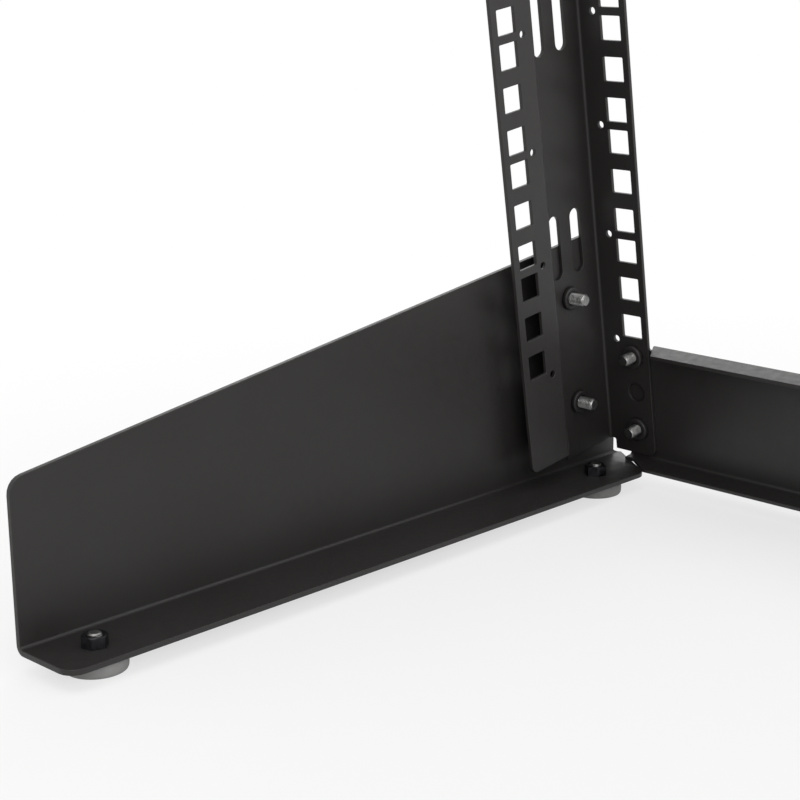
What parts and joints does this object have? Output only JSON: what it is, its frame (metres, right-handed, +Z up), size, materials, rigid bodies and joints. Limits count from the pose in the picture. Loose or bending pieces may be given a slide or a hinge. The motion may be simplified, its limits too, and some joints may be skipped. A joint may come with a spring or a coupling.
{
  "type": "two post open frame rack",
  "caption": "Tilted two-post open frame rack with bent sheet posts, square mounting holes, wedge-shaped feet and channel cross bars.",
  "frame": {"origin": "on the floor, centred between the feet's ends and between the two sides", "axes": "+Z up, +X to the right seen from the front, +Y rearwards along the feet; the posts lean towards +Y"},
  "size_m": [0.5096, 0.3, 0.6397],
  "materials": {
    "black_frame": "satin",
    "black_nut": "satin",
    "plated_steel": "satin",
    "pad_rubber": "matte"
  },
  "bodies": {
    "root": {"bottom_bar": "black_frame", "left_bottom_bar_lower_bolt": "plated_steel", "left_bottom_bar_lower_nut": "black_nut", "left_bottom_bar_upper_bolt": "plated_steel", "left_bottom_bar_upper_nut": "black_nut", "left_foot": "black_frame", "left_foot_lower_bolt": "plated_steel", "left_foot_lower_nut": "black_nut", "left_foot_upper_bolt": "plated_steel", "left_foot_upper_nut": "black_nut", "left_front_pad": "pad_rubber", "left_front_stud": "plated_steel", "left_front_stud_nut": "black_nut", "left_post": "black_frame", "left_rear_pad": "pad_rubber", "left_rear_stud": "plated_steel", "left_rear_stud_nut": "black_nut", "left_top_bar_lower_bolt": "plated_steel", "left_top_bar_lower_nut": "black_nut", "left_top_bar_upper_bolt": "plated_steel", "left_top_bar_upper_nut": "black_nut", "right_bottom_bar_lower_bolt": "plated_steel", "right_bottom_bar_lower_nut": "black_nut", "right_bottom_bar_upper_bolt": "plated_steel", "right_bottom_bar_upper_nut": "black_nut", "right_foot": "black_frame", "right_foot_lower_bolt": "plated_steel", "right_foot_lower_nut": "black_nut", "right_foot_upper_bolt": "plated_steel", "right_foot_upper_nut": "black_nut", "right_front_pad": "pad_rubber", "right_front_stud": "plated_steel", "right_front_stud_nut": "black_nut", "right_post": "black_frame", "right_rear_pad": "pad_rubber", "right_rear_stud": "plated_steel", "right_rear_stud_nut": "black_nut", "right_top_bar_lower_bolt": "plated_steel", "right_top_bar_lower_nut": "black_nut", "right_top_bar_upper_bolt": "plated_steel", "right_top_bar_upper_nut": "black_nut", "top_bar": "black_frame"}
  },
  "joints": []
}
